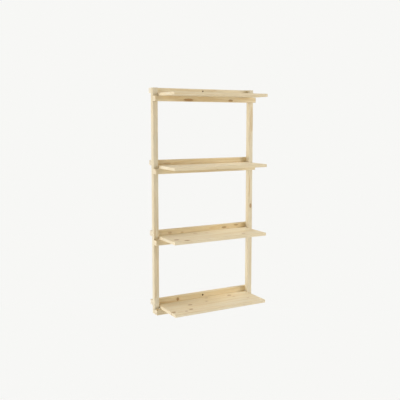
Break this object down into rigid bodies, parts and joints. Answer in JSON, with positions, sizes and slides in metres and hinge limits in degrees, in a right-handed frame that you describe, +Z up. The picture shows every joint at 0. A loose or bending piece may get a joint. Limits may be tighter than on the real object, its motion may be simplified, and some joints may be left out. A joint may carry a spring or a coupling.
{
  "type": "wall shelf unit",
  "caption": "Wall-hung pine shelf unit: square uprights crossed by front and back rails that grip deep, forward-reaching shelf boards.",
  "frame": {"origin": "midway between the wall-screw holes of the top and the bottom back rail, on the wall plane", "axes": "+Z up, +X along the shelves, to the right seen from the front, +Y into the wall, front at -Y"},
  "size_m": [0.62, 0.238, 1.2],
  "materials": {
    "pine_bar": "planed, clear matt lacquer",
    "pine_board": "planed, clear matt lacquer",
    "dowel_wood": "plain turned",
    "screw_steel": "zinc plated"
  },
  "bodies": {
    "root": {"left_upright": "pine_bar", "right_upright": "pine_bar", "top_back_rail": "pine_bar", "top_front_rail": "pine_bar", "top_shelf": "pine_board", "top_back_rail_screws": "screw_steel", "top_back_rail_dowels": "dowel_wood", "top_front_rail_screws": "screw_steel", "top_front_rail_dowels": "dowel_wood", "top_shelf_screws": "screw_steel", "upper_back_rail": "pine_bar", "upper_front_rail": "pine_bar", "upper_shelf": "pine_board", "upper_back_rail_screws": "screw_steel", "upper_back_rail_dowels": "dowel_wood", "upper_front_rail_screws": "screw_steel", "upper_front_rail_dowels": "dowel_wood", "upper_shelf_screws": "screw_steel", "lower_back_rail": "pine_bar", "lower_front_rail": "pine_bar", "lower_shelf": "pine_board", "lower_back_rail_screws": "screw_steel", "lower_back_rail_dowels": "dowel_wood", "lower_front_rail_screws": "screw_steel", "lower_front_rail_dowels": "dowel_wood", "lower_shelf_screws": "screw_steel", "bottom_back_rail": "pine_bar", "bottom_front_rail": "pine_bar", "bottom_shelf": "pine_board", "bottom_back_rail_screws": "screw_steel", "bottom_back_rail_dowels": "dowel_wood", "bottom_front_rail_screws": "screw_steel", "bottom_front_rail_dowels": "dowel_wood", "bottom_shelf_screws": "screw_steel"}
  },
  "joints": []
}
